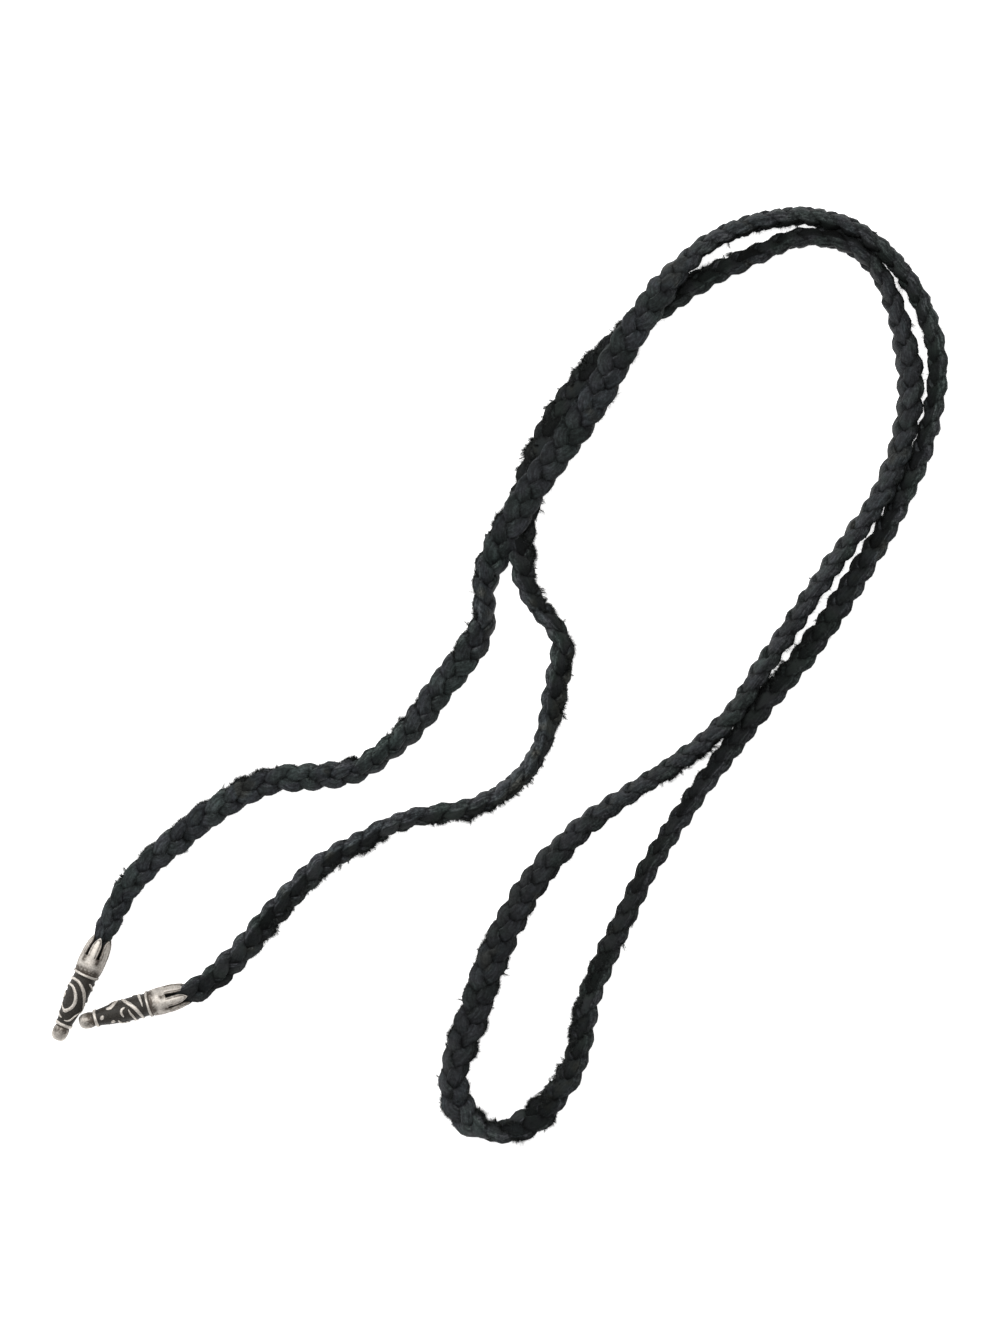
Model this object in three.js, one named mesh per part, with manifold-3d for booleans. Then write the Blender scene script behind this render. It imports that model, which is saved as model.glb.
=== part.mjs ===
// Necklace of black braided leather cord with a cast silver cap on each free end. It lies on a
// flat surface, folded in half: both ends are together at the lower left, and the fold is at the
// lower right. Millimetres, +Z up. The origin is on the surface, under the middle of the
// necklace, and +Y runs from the fold towards the top of the big loop.

import * as THREE from 'three';
import { mergeVertices } from 'three/addons/utils/BufferGeometryUtils.js';
import Module from 'manifold-3d';

// Cord. The flat plait of three thick laces is one tube with about the same leather section.
const cordAcrossCorners = 3.9;
const cordSides = 8;
const cordSteps = 80;
const lengthSamplesPerStep = 20;
const cordEndRadius = 1.4;
const cordEndGap = 0.3;
const cordEndOverlap = 1.5;

// Middle of the cord, from the left cap to the right cap. The first run goes up to the big loop,
// round it outside the second run, and down to the fold. It passes over the second run twice,
// and leans on it at the top right.
const cordRoute = [
  [-78.8, -52.6, 3.4],
  [-73.8, -42.4, 2.9],
  [-50.4, -23.4, 2.0],
  [-28.4, -19.4, 2.0],
  [-6.8, 2.8, 2.2],
  [-2.8, 16.2, 3.4],
  [4.0, 33.8, 6.6],
  [18.4, 54.2, 4.6],
  [28.2, 70.4, 7.0],
  [42.2, 85.8, 4.0],
  [60.4, 91.2, 3.4],
  [76.2, 84.4, 5.2],
  [86.4, 68.6, 3.0],
  [85.4, 45.2, 2.1],
  [60.8, 2.6, 2.0],
  [35.4, -30.0, 2.0],
  [18.0, -65.8, 2.0],
  [14.8, -80.0, 2.0],
  [6.0, -90.4, 2.0],
  [-4.0, -91.6, 2.0],
  [-9.6, -83.4, 2.0],
  [-0.2, -53.0, 2.0],
  [15.6, -32.2, 2.0],
  [43.6, -10.0, 2.0],
  [69.0, 24.2, 2.0],
  [79.6, 45.2, 2.0],
  [81.6, 63.2, 2.0],
  [74.2, 80.8, 2.0],
  [60.6, 86.4, 2.0],
  [44.4, 80.2, 2.0],
  [21.0, 63.8, 2.0],
  [6.4, 41.8, 2.0],
  [4.6, 20.6, 2.0],
  [12.2, 4.6, 2.0],
  [8.4, -16.2, 2.0],
  [-5.6, -27.4, 2.0],
  [-25.2, -32.4, 2.0],
  [-43.0, -47.0, 2.1],
  [-58.4, -62.6, 3.2],
  [-61.5, -64.03, 3.4],
];

// End cap. Distances along it run from the tips of its claws to the end of its knob.
const capLength = 22.6;
const capFacets = 36;
const socketRadius = 1.75;
const socketDepth = 6;
const clawTipRadius = 2.2;
const clawBulgeAt = 5.2;
const clawBulgeRadius = 2.8;
const bandEnd = 7.6;
const bandEndRadius = 2.6;
const ringWidth = 0.6;
const upperRingAt = 8.05;
const upperRingRadius = 2.65;
const lowerRingAt = 19.1;
const lowerRingRadius = 1.8;
const grooveDepth = 0.25;
const barrelStart = 8.8;
const barrelEnd = 18.4;
const barrelStartRadius = 2.45;
const barrelSwellRadius = 2.6;
const barrelEndRadius = 1.72;
const barrelSteps = 6;
const neckRadius = 1.35;
const knobStart = 19.8;
const knobWidestAt = 20.4;
const knobRadius = 1.6;
const knobShoulderAt = 21.6;
const knobShoulderRadius = 1.45;
const knobFaceRadius = 0.8;
const knobEdgeRound = 0.2;

// Claws: slots, each wide at the claw tips and narrow where it ends, part the rim into six.
const clawCount = 6;
const slotMouthWidth = 1.3;
const slotWidth = 0.55;
const slotNarrowAt = 1.5;
const slotEnd = 5;
const slotInnerRadius = 1.5;
const slotOuterRadius = 3.2;
const slotOvershoot = 0.5;

// Each cap's rim is centred here, and its knob points along this heading, in degrees from +X.
// Its roll turns the first slot from the top of the cap towards its right-hand side.
const leftCap = { x: -79.15, y: -53.1, heading: 245.5, roll: -24 };
const rightCap = { x: -62.2, y: -64.23, heading: 195.4, roll: 18 };

// A cap lies on the lower half of its barrel, so it tips down towards the knob.
const capTilt = THREE.MathUtils.degToRad(4.6);

const leather = new THREE.MeshStandardMaterial({ color: 0x1e1f21, roughness: 0.75, metalness: 0 });
const silver = new THREE.MeshStandardMaterial({ color: 0xb9b2a6, roughness: 0.35, metalness: 1 });

const wasm = await Module();
wasm.setup();

const alongCap = new THREE.Vector3(0, 1, 0);
const weldDistance = 1e-4;

function solidFrom(geometry) {
  const bare = geometry.clone();
  bare.deleteAttribute('normal');
  bare.deleteAttribute('uv');
  const merged = mergeVertices(bare, weldDistance);
  const mesh = new wasm.Mesh({
    numProp: 3,
    vertProperties: new Float32Array(merged.attributes.position.array),
    triVerts: new Uint32Array(merged.index.array),
  });
  return new wasm.Manifold(mesh);
}

function geometryFrom(solid) {
  const mesh = solid.getMesh();
  const geometry = new THREE.BufferGeometry();
  geometry.setAttribute('position', new THREE.BufferAttribute(mesh.vertProperties, 3));
  geometry.setIndex(new THREE.BufferAttribute(mesh.triVerts, 1));
  geometry.computeVertexNormals();
  return geometry;
}

function capDirection(cap) {
  const heading = THREE.MathUtils.degToRad(cap.heading);
  const level = Math.cos(capTilt);
  return new THREE.Vector3(level * Math.cos(heading), level * Math.sin(heading), -Math.sin(capTilt));
}

// Turns a cap that stands upright on +Y, with its top towards +Z, to the way that it lies.
function capTurn(cap) {
  const along = capDirection(cap);
  const top = new THREE.Vector3(0, 0, 1).addScaledVector(along, -along.z).normalize();
  const rightHand = new THREE.Vector3().crossVectors(along, top);
  const lying = new THREE.Matrix4().makeBasis(rightHand, along, top);
  const roll = new THREE.Quaternion().setFromAxisAngle(alongCap, THREE.MathUtils.degToRad(cap.roll));
  return new THREE.Quaternion().setFromRotationMatrix(lying).multiply(roll);
}

// The height of the rim's middle above the surface, where the lowest ring or bulge touches down.
function capMouth(cap) {
  const drops = capOutline().map(({ x, y }) => x * Math.cos(capTilt) + y * Math.sin(capTilt));
  return new THREE.Vector3(cap.x, cap.y, Math.max(...drops));
}

// The plait's squeezed end, from inside the tube to just short of the socket's floor.
function cordEnd(cap) {
  const reachBack = cordEndGap + cordEndOverlap;
  const length = reachBack + socketDepth - cordEndGap;
  const end = new THREE.CylinderGeometry(cordEndRadius, cordEndRadius, length, cordSides);
  end.translate(0, length / 2 - reachBack, 0);
  end.applyQuaternion(new THREE.Quaternion().setFromUnitVectors(alongCap, capDirection(cap)));
  const mouth = capMouth(cap);
  end.translate(mouth.x, mouth.y, mouth.z);
  return end;
}

// A regular polygon turned so that a flat side, not a corner, faces the surface.
function cordSection() {
  const section = new THREE.Shape();
  for (let side = 0; side < cordSides; side += 1) {
    const angle = ((side + 0.5) * 2 * Math.PI) / cordSides;
    const x = (Math.cos(angle) * cordAcrossCorners) / 2;
    const y = (Math.sin(angle) * cordAcrossCorners) / 2;
    if (side === 0) {
      section.moveTo(x, y);
    } else {
      section.lineTo(x, y);
    }
  }
  section.closePath();
  return section;
}

function makeCord() {
  const route = new THREE.CatmullRomCurve3(cordRoute.map((point) => new THREE.Vector3(...point)));
  route.arcLengthDivisions = cordSteps * lengthSamplesPerStep;
  const tube = new THREE.ExtrudeGeometry(cordSection(), {
    steps: cordSteps,
    curveSegments: 1,
    extrudePath: route,
  });
  const solid = solidFrom(tube).add(solidFrom(cordEnd(leftCap))).add(solidFrom(cordEnd(rightCap)));
  const mesh = new THREE.Mesh(geometryFrom(solid), leather);
  mesh.name = 'braided_cord';
  return mesh;
}

function addRing(outline, at, radius) {
  outline.push([radius - grooveDepth, at - ringWidth / 2]);
  outline.push([radius, at - ringWidth / 4]);
  outline.push([radius, at + ringWidth / 4]);
  outline.push([radius - grooveDepth, at + ringWidth / 2]);
}

// Half section of the cap, as radius and distance, from the socket's floor round to the knob.
function capOutline() {
  const outline = [
    [0, socketDepth],
    [socketRadius, socketDepth],
    [socketRadius, 0],
    [clawTipRadius, 0],
    [(clawTipRadius + 2 * clawBulgeRadius) / 3, clawBulgeAt / 2],
    [clawBulgeRadius, clawBulgeAt],
    [bandEndRadius, bandEnd],
  ];
  addRing(outline, upperRingAt, upperRingRadius);
  outline.push([barrelStartRadius, barrelStart]);
  const barrel = new THREE.QuadraticBezierCurve(
    new THREE.Vector2(barrelStartRadius, barrelStart),
    new THREE.Vector2(barrelSwellRadius, (barrelStart + barrelEnd) / 2),
    new THREE.Vector2(barrelEndRadius, barrelEnd),
  );
  for (const point of barrel.getPoints(barrelSteps).slice(1)) {
    outline.push([point.x, point.y]);
  }
  addRing(outline, lowerRingAt, lowerRingRadius);
  outline.push([neckRadius, (lowerRingAt + knobStart) / 2]);
  outline.push([neckRadius, knobStart - knobEdgeRound]);
  outline.push([knobRadius - knobEdgeRound, knobStart]);
  outline.push([knobRadius, knobWidestAt]);
  outline.push([knobShoulderRadius, knobShoulderAt]);
  outline.push([knobFaceRadius, capLength]);
  outline.push([0, capLength]);
  return outline.map(([radius, along]) => new THREE.Vector2(radius, along));
}

// One slot between two claws, cut outward from inside the socket's wall.
function clawSlot(number) {
  const shape = new THREE.Shape();
  shape.moveTo(-slotMouthWidth / 2, -slotOvershoot);
  shape.lineTo(slotMouthWidth / 2, -slotOvershoot);
  shape.lineTo(slotMouthWidth / 2, 0);
  shape.lineTo(slotWidth / 2, slotNarrowAt);
  shape.lineTo(slotWidth / 2, slotEnd);
  shape.lineTo(-slotWidth / 2, slotEnd);
  shape.lineTo(-slotWidth / 2, slotNarrowAt);
  shape.lineTo(-slotMouthWidth / 2, 0);
  shape.closePath();
  const depth = slotOuterRadius - slotInnerRadius;
  const slot = new THREE.ExtrudeGeometry(shape, { depth, bevelEnabled: false });
  slot.translate(0, 0, slotInnerRadius);
  slot.rotateY((number * 2 * Math.PI) / clawCount);
  return slot;
}

function makeCap(name, cap) {
  let solid = solidFrom(new THREE.LatheGeometry(capOutline(), capFacets));
  for (let number = 0; number < clawCount; number += 1) {
    solid = solid.subtract(solidFrom(clawSlot(number)));
  }
  const mesh = new THREE.Mesh(geometryFrom(solid), silver);
  mesh.name = name;
  mesh.quaternion.copy(capTurn(cap));
  mesh.position.copy(capMouth(cap));
  return mesh;
}

const necklace = new THREE.Group();
necklace.add(makeCord());
necklace.add(makeCap('end_cap_left', leftCap));
necklace.add(makeCap('end_cap_right', rightCap));

export default necklace;
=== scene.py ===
import math

import bpy
import numpy as np
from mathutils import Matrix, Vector


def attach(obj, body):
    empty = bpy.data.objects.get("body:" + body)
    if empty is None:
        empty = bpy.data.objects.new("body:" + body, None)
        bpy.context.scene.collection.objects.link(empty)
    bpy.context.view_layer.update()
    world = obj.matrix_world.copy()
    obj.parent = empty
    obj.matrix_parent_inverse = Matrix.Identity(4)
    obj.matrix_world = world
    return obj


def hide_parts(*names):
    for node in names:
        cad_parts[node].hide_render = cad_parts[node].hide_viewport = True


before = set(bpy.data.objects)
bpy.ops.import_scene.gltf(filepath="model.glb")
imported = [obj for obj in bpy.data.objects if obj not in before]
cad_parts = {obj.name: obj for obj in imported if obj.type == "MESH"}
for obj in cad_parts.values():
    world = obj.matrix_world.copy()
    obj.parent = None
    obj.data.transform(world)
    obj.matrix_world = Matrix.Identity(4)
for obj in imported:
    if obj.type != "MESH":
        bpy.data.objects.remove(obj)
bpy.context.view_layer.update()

# Necklace of black braided leather cord with an oxidised silver cap on each end, lying on a pale
# surface. Lengths are millimetres until a mesh is made, and metres after that. A distance along
# the cord starts at the left cap's mouth, and left and right of the cord are as seen on the way
# from there.

MM = 0.001

# ---------------------------------------------------------------- cord route

# Middle of the cord, from the left cap to the right cap, as in the CAD model.
CORD_ROUTE = [
    (-78.8, -52.6, 3.4), (-73.8, -42.4, 2.9), (-50.4, -23.4, 2.0), (-28.4, -19.4, 2.0),
    (-6.8, 2.8, 2.2), (-2.8, 16.2, 3.4), (4.0, 33.8, 6.6), (18.4, 54.2, 4.6),
    (28.2, 70.4, 7.0), (42.2, 85.8, 4.0), (60.4, 91.2, 3.4), (76.2, 84.4, 5.2),
    (86.4, 68.6, 3.0), (85.4, 45.2, 2.1), (60.8, 2.6, 2.0), (35.4, -30.0, 2.0),
    (18.0, -65.8, 2.0), (14.8, -80.0, 2.0), (6.0, -90.4, 2.0), (-4.0, -91.6, 2.0),
    (-9.6, -83.4, 2.0), (-0.2, -53.0, 2.0), (15.6, -32.2, 2.0), (43.6, -10.0, 2.0),
    (69.0, 24.2, 2.0), (79.6, 45.2, 2.0), (81.6, 63.2, 2.0), (74.2, 80.8, 2.0),
    (60.6, 86.4, 2.0), (44.4, 80.2, 2.0), (21.0, 63.8, 2.0), (6.4, 41.8, 2.0),
    (4.6, 20.6, 2.0), (12.2, 4.6, 2.0), (8.4, -16.2, 2.0), (-5.6, -27.4, 2.0),
    (-25.2, -32.4, 2.0), (-43.0, -47.0, 2.1), (-58.4, -62.6, 3.2), (-61.5, -64.03, 3.4),
]
CORD_LENGTH = 889.0
FOLD_AT = CORD_LENGTH / 2

# Points on the curve between two points of the route, and the spacing of the finished line.
ROUTE_STEPS = 40
RING_STEP = 0.6

# Lengths over which the line, its wander, its turn and its height are averaged.
ROUTE_SMOOTHING = 2.6
WANDER_SMOOTHING = 1.6
TURN_SMOOTHING = 2.0
HEIGHT_SMOOTHING = 2.2

# How far the plait's smooth face is turned from facing up, in degrees to the left, at each
# distance along the cord.
CORD_TURNS = [
    (0, -10), (30, -6), (48, -10), (60, -34), (70, -52), (78, -42), (86, -12), (94, 4),
    (99, -30), (105, -66), (111, -64), (116, -34), (122, -8), (130, 2), (172, 4), (181, 34),
    (187, 62), (193, 76), (205, 84), (222, 88), (240, 96), (262, 104), (284, 108), (304, 118),
    (328, 120), (344, 114), (356, 106), (372, 108), (384, 113), (400, 118), (424, 122),
    (432, 150), (437, 120), (441, 80), (445, 30), (449, 8), (456, 56), (464, 8), (474, 8),
    (484, 30), (492, 36), (500, 44), (506, 54), (514, 66), (522, 74), (532, 78), (552, 75),
    (572, 72), (594, 72), (608, 66), (618, 56), (628, 56), (637, 70), (646, 82), (654, 92),
    (662, 106), (676, 112), (686, 122), (700, 124), (740, 130), (744, 150), (750, 224),
    (759, 240), (766, 248), (773, 258), (780, 236), (788, 232), (796, 256), (802, 268),
    (810, 268), (817, 250), (824, 252), (832, 262), (840, 248), (846, 244), (858, 236),
    (872, 231), (886, 222), (900, 220),
]

# Small wander of the cord to the left of its smooth route, in millimetres, at each distance
# along it.
CORD_WANDER = [
    (0, 0.0), (12, 0.0), (24, -0.4), (40, -0.5), (51, 0.4), (57, 0.3), (65, -0.4), (79, -0.4),
    (88, 0.7), (96, 0.0), (104, -1.35), (112, 0.9), (119, 0.4), (128, -0.65), (140, -1.0),
    (164, -0.2), (192, 0.2), (208, -0.5), (224, 0.0), (248, -0.5), (257, -0.1), (272, -0.7),
    (284, -0.7), (298, -0.5), (318, -0.1), (336, -1.2), (352, -0.1), (362, 0.1), (376, -0.4),
    (388, -0.2), (400, -0.5), (410, -0.2), (425, -0.6), (440, 0.2), (455, -0.1), (465, -1.5),
    (476, -0.95), (488, -0.5), (498, 0.2), (512, 0.2), (528, -0.6), (544, -1.15), (552, -1.1),
    (560, 0.35), (576, 0.8), (586, 0.7), (602, -0.65), (616, -0.5), (626, -0.1), (634, 0.5),
    (642, 0.3), (656, -1.0), (664, -0.5), (674, 0.7), (684, 0.0), (744, 0.6), (760, -0.3),
    (768, -0.9), (776, 0.85), (785, -1.15), (793, -1.1), (800, -0.4), (808, 0.3), (816, 0.1),
    (825, -1.2), (840, 0.2), (849, -1.25), (857, -0.9), (870, 0.0), (900, 0.0),
]

# Near a cap the cord keeps its route's height. Elsewhere it lies on the surface, and its middle
# is at least this high.
HELD_BY_CAP = 22.0
LEAST_HEIGHT = 1.9

# The first run lies over the second where they cross. These stretches hold the crossings.
FIRST_RUN = (100.0, FOLD_AT - 40.0)
SECOND_RUN = (FOLD_AT + 40.0, 780.0)

# Two crossing runs nest to these shares of their widths and heights, and the upper one's hump is
# this long and keeps this share of its smoothed height.
NESTED_WIDTH = 0.93
NESTED_HEIGHT = 0.9
HUMP_SMOOTHING = 5.0
HUMP_SHARE = 0.98

# ---------------------------------------------------------------- plait

PLAIT_HALF_WIDTH = 3.0
PLAIT_HALF_THICKNESS = 1.7

# Each lace swings from one side of the plait to the other and back in one period, and rises twice.
LACE_COUNT = 3
LACE_PERIOD = 13.2
LACE_SWING = 1.60
LACE_RISE = 0.56
LACE_WIDTH = 3.3
LACE_THICKNESS = 2.3
LACE_SIDES = 20
SECTION_SQUARENESS = 3.8

# A lace is this much narrower, and thicker, where it turns back at the plait's side.
TURN_CHANGE = 0.15

# Shares of the higher waves in a lace's rise, for four and six to a period, and the two waves of
# its lean, in degrees.
RISE_FOURTH = -0.15
RISE_SIXTH = 0.12
LEAN_FIRST = 19
LEAN_THIRD = -9

# The plait is drawn tighter near the left cap: distance along it, and share of its width.
TIGHTNESS = [(15, 0.85), (32, 0.88), (48, 0.80), (66, 0.84), (100, 1.0)]

# How much thinner the plait is where a cap grips it: distance from the cap's mouth, and share.
CAP_GRIP = [(-1.0, 0.60), (0.6, 0.76), (3.0, 0.86), (9.0, 0.94), (18.0, 1.0)]

# Hand plaiting is uneven: over how many millimetres each measure changes, and by how much.
UNEVEN = {
    "phase": (8.0, 0.16), "swing": (7.0, 0.10), "rise": (7.0, 0.05), "lean": (5.0, 0.10),
    "width": (6.0, 0.18), "thickness": (6.0, 0.08), "tone": (3.2, 0.20), "raggedness": (1.6, 0.9),
}

# A lace's smooth side and raw edges: how sharply one side gives way to the other, and where
# across the lace its edge begins and is whole.
GRAIN_SHARPNESS = 1.6
EDGE_FROM = 0.72
EDGE_TO = 0.94

# How uneven the skin of smooth leather is, and what raw leather adds to that.
SMOOTH_ROUGHNESS = 0.022
RAW_ROUGHNESS = 0.05

# Streaks are drawn out along a lace: a step along it counts as this share of a step across it.
STREAK_SHARE = 0.3

# Lightness of the leather, and the painted light it gains where a lace lies outermost.
TONE = 0.44
OUTER_PAINTED_LIGHT = 0.16

# Where another lace lies over it the leather is creased, and painted shade darkens it there. That is
# felt for this far out from the skin, and ends this many times as far from the other lace's middle
# as its skin is.
CREASE_SHADE_PROBE = 0.35
CREASE_SHADE_REACH = 1.32

# How strongly the leather reflects at each distance along the cord: some stretches are lighter and
# some darker.
CORD_BRIGHTNESS = [
    (0, 1.00), (40, 1.02), (52, 1.24), (70, 1.16), (92, 0.84), (108, 1.12), (128, 0.70), (172, 0.82),
    (195, 1.0), (296, 1.02), (312, 0.66), (340, 0.62), (352, 0.86), (372, 0.64), (392, 0.54),
    (402, 0.84), (426, 0.76), (440, 1.36), (456, 0.58), (498, 0.50), (520, 0.76), (575, 0.76),
    (600, 0.82), (620, 0.66), (668, 0.64), (712, 0.68), (730, 0.58), (764, 0.92), (790, 1.18),
    (828, 1.14), (850, 1.44), (872, 1.14), (900, 1.08),
]

# Stretches where the raw edges are teased out most: from, to, side (1 is left, -1 is right).
FRAYED = [
    (10, 64, 1), (72, 84, 1), (94, 126, 1), (318, 332, -1), (384, 391, 1), (398, 430, -1),
    (427, 440, 1), (436, 446, -1), (446, 484, 1), (458, 482, -1), (530, 546, -1), (680, 748, -1),
    (700, 826, 1), (836, 872, 1),
]

# ---------------------------------------------------------------- fibres

NAP_STRETCHES = 4
NAP_FIBRES = 28000
LOOSE_FIBRES = 1200
TUFTS = 700
FIBRES_IN_TUFT = 12

# How likely a fibre is on smooth leather, and what a raw edge or suede adds. A crease takes this
# share away, and a frayed side adds this many times as many, for single fibres and for tufts.
SMOOTH_CHANCE = 0.012
EDGE_CHANCE = 0.7
SUEDE_CHANCE = 0.8
CREASE_LOSS = 0.95
FRAYED_SINGLES = 16
FRAYED_TUFTS = 40
RAGGEDNESS_LIMITS = (0.5, 2.2)

# A fibre's root is this far under the skin. It leans forward along the lace by this share of how
# far it stands out, and bends aside by about this share of its length, thinner at the bend.
ROOT_DEPTH = 0.10
FORWARD_LEAN = 0.5
ELBOW_BEND = 0.22
ELBOW_TAPER = 0.7

# No fibre comes closer to the surface than this, at its root, along it and at its tip.
ROOT_CLEARANCE = 0.15
SIDE_CLEARANCE = 0.03
TIP_CLEARANCE = 0.05

# ---------------------------------------------------------------- caps

CAP_TILT = math.radians(4.6)
CAP_MOUTH_HEIGHT = 3.426
LEFT_CAP = {"x": -79.15, "y": -53.1, "heading": 245.5, "roll": -24.0, "ornament": 0.0}
RIGHT_CAP = {"x": -62.2, "y": -64.23, "heading": 195.4, "roll": 18.0, "ornament": 180.0}

# How far the plait reaches into a cap.
CAP_INSERT = 4.6


def cap_direction(cap):
    """Unit vector from the cap's mouth to its knob."""
    heading = math.radians(cap["heading"])
    level = math.cos(CAP_TILT)
    return np.array([level * math.cos(heading), level * math.sin(heading), -math.sin(CAP_TILT)])


def cap_mouth(cap):
    """Middle of the cap's rim."""
    return np.array([cap["x"], cap["y"], CAP_MOUTH_HEIGHT])


# ---------------------------------------------------------------- numbers along a line


def between(value, zero_at, one_at):
    """Rises evenly from 0 at the first place to 1 at the second, and holds beyond them."""
    return np.clip((value - zero_at) / (one_at - zero_at), 0, 1)


def looked_up(table, at):
    """The table's second column at those places of its first, with straight lines between rows."""
    places, values = zip(*table)
    return np.interp(at, places, values)


def smooth(values, width):
    """Gaussian average along the first axis, with the ends held where they are."""
    reach = int(4 * width)
    weights = np.exp(-0.5 * (np.arange(-reach, reach + 1) / width) ** 2)
    weights /= weights.sum()
    table = values.reshape(len(values), -1)
    before = 2 * table[0] - table[reach:0:-1]
    after = 2 * table[-1] - table[-2:-reach - 2:-1]
    padded = np.concatenate([before, table, after])
    columns = [np.convolve(column, weights, mode="valid") for column in padded.T]
    return np.stack(columns, axis=1).reshape(values.shape)


def wander(rng, at, scale, amount):
    """A smooth random curve of about that size, which changes over that many millimetres."""
    softness = 0.35
    knots = np.arange(at[0] - scale, at[-1] + 2 * scale, scale)
    heights = rng.normal(0.0, amount, len(knots))
    return smooth(np.interp(at, knots, heights), scale / (at[1] - at[0]) * softness)


def unit(vectors):
    """The same vectors, each of length 1."""
    return vectors / np.linalg.norm(vectors, axis=1)[:, None]


def catmull_rom(points, steps):
    """Centripetal Catmull-Rom curve through the points, as the CAD model draws it."""
    points = np.array(points, float)
    first = 2 * points[0] - points[1]
    last = 2 * points[-1] - points[-2]
    points = np.concatenate([[first], points, [last]])
    line = []
    for p0, p1, p2, p3 in zip(points, points[1:], points[2:], points[3:]):
        d0, d1, d2 = (math.sqrt(np.linalg.norm(b - a)) for a, b in ((p0, p1), (p1, p2), (p2, p3)))
        t1 = ((p1 - p0) / d0 - (p2 - p0) / (d0 + d1) + (p2 - p1) / d1) * d1
        t2 = ((p2 - p1) / d1 - (p3 - p1) / (d1 + d2) + (p3 - p2) / d2) * d1
        for t in np.arange(steps) / steps:
            line.append(
                p1 + t1 * t
                + (3 * (p2 - p1) - 2 * t1 - t2) * t ** 2
                + (2 * (p1 - p2) + t1 + t2) * t ** 3
            )
    line.append(points[-2])
    return np.array(line)


def distances(line):
    """Distance along the line at each of its points."""
    steps = np.linalg.norm(np.diff(line, axis=0), axis=1)
    return np.concatenate([[0.0], np.cumsum(steps)])


def respaced(line, step):
    """The same line with evenly spaced points."""
    along = distances(line)
    at = np.linspace(0.0, along[-1], int(round(along[-1] / step)) + 1)
    return np.stack([np.interp(at, along, line[:, k]) for k in range(3)], axis=1)


# ---------------------------------------------------------------- the plait's middle line


def cap_squeeze(at):
    """How much thinner the plait is near the caps, at each distance along it."""
    return looked_up(CAP_GRIP, np.minimum(at, CORD_LENGTH - at))


def half_extents(turn):
    """Half of the plait's width across the surface and half of its height, at that turn."""
    flat, edge = np.cos(turn), np.sin(turn)
    across = np.hypot(PLAIT_HALF_WIDTH * flat, PLAIT_HALF_THICKNESS * edge)
    height = np.hypot(PLAIT_HALF_THICKNESS * flat, PLAIT_HALF_WIDTH * edge)
    return across, height


def cord_line():
    """Middle of the plait from socket to socket, and the distance along the cord at each point."""
    depths = (CAP_INSERT / 2, CAP_INSERT)
    start = [cap_mouth(LEFT_CAP) + cap_direction(LEFT_CAP) * depth for depth in reversed(depths)]
    end = [cap_mouth(RIGHT_CAP) + cap_direction(RIGHT_CAP) * depth for depth in depths]
    line = catmull_rom([*start, *CORD_ROUTE, *end], ROUTE_STEPS)
    line = smooth(respaced(line, RING_STEP), ROUTE_SMOOTHING / RING_STEP)
    offset = looked_up(CORD_WANDER, distances(line) - CAP_INSERT)
    offset = smooth(offset, WANDER_SMOOTHING / RING_STEP)
    run = unit(np.gradient(line, axis=0))
    left = unit(np.stack([-run[:, 1], run[:, 0], np.zeros(len(line))], axis=1))
    line = respaced(line + left * offset[:, None], RING_STEP)
    return line, distances(line) - CAP_INSERT


def cord_turn(at):
    """The plait's turn at each distance along it, in radians."""
    return smooth(np.radians(looked_up(CORD_TURNS, at)), TURN_SMOOTHING / RING_STEP)


def settle(line, at, turn):
    """Rests the plait on the surface, and lifts its first run over its second where they cross."""
    across, height = half_extents(turn)
    free = (at > HELD_BY_CAP) & (at < CORD_LENGTH - HELD_BY_CAP)
    lying = np.where(free, np.maximum(height * cap_squeeze(at), LEAST_HEIGHT), line[:, 2])
    upper, lower = (
        np.flatnonzero((at > start) & (at < end)) for start, end in (FIRST_RUN, SECOND_RUN)
    )
    gap = np.linalg.norm(line[upper, None, :2] - line[None, lower, :2], axis=2)
    width = NESTED_WIDTH * (across[upper, None] + across[None, lower])
    room = NESTED_HEIGHT * (height[upper, None] + height[None, lower])
    lift = room * np.sqrt(np.clip(1 - (gap / width) ** 2, 0, 1))
    needed = np.where(gap < width, lying[None, lower] + lift, 0).max(axis=1)
    lying[upper] = np.maximum(lying[upper], needed)
    hump = smooth(lying, HUMP_SMOOTHING / RING_STEP)
    lying[upper] = np.maximum(lying[upper], hump[upper] * HUMP_SHARE)
    line[:, 2] = smooth(lying, HEIGHT_SMOOTHING / RING_STEP)
    return line


def plait_axes(line, turn):
    """Unit vectors out of the plait's smooth face and to its right."""
    along = unit(np.gradient(line, axis=0))
    up = unit(np.array([0.0, 0.0, 1.0]) - along * along[:, 2:3])
    left = np.cross(up, along)
    face = up * np.cos(turn)[:, None] + left * np.sin(turn)[:, None]
    return face, np.cross(along, face)


# ---------------------------------------------------------------- meshes and materials


def new_object(name, points, faces, material, marks=()):
    """A mesh object from points in millimetres, with a number or vector a point for each mark."""
    mesh = bpy.data.meshes.new(name)
    mesh.from_pydata([tuple(p) for p in np.asarray(points) * MM], [], [tuple(f) for f in faces])
    for label, values in marks:
        values = np.asarray(values, float)
        if values.ndim == 2:
            layer = mesh.attributes.new(label, "FLOAT_VECTOR", "POINT")
            layer.data.foreach_set("vector", values.ravel())
        else:
            layer = mesh.attributes.new(label, "FLOAT", "POINT")
            layer.data.foreach_set("value", values)
    mesh.polygons.foreach_set("use_smooth", [True] * len(mesh.polygons))
    mesh.materials.append(material)
    mesh.update()
    made = bpy.data.objects.new(name, mesh)
    bpy.context.scene.collection.objects.link(made)
    return made


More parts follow.
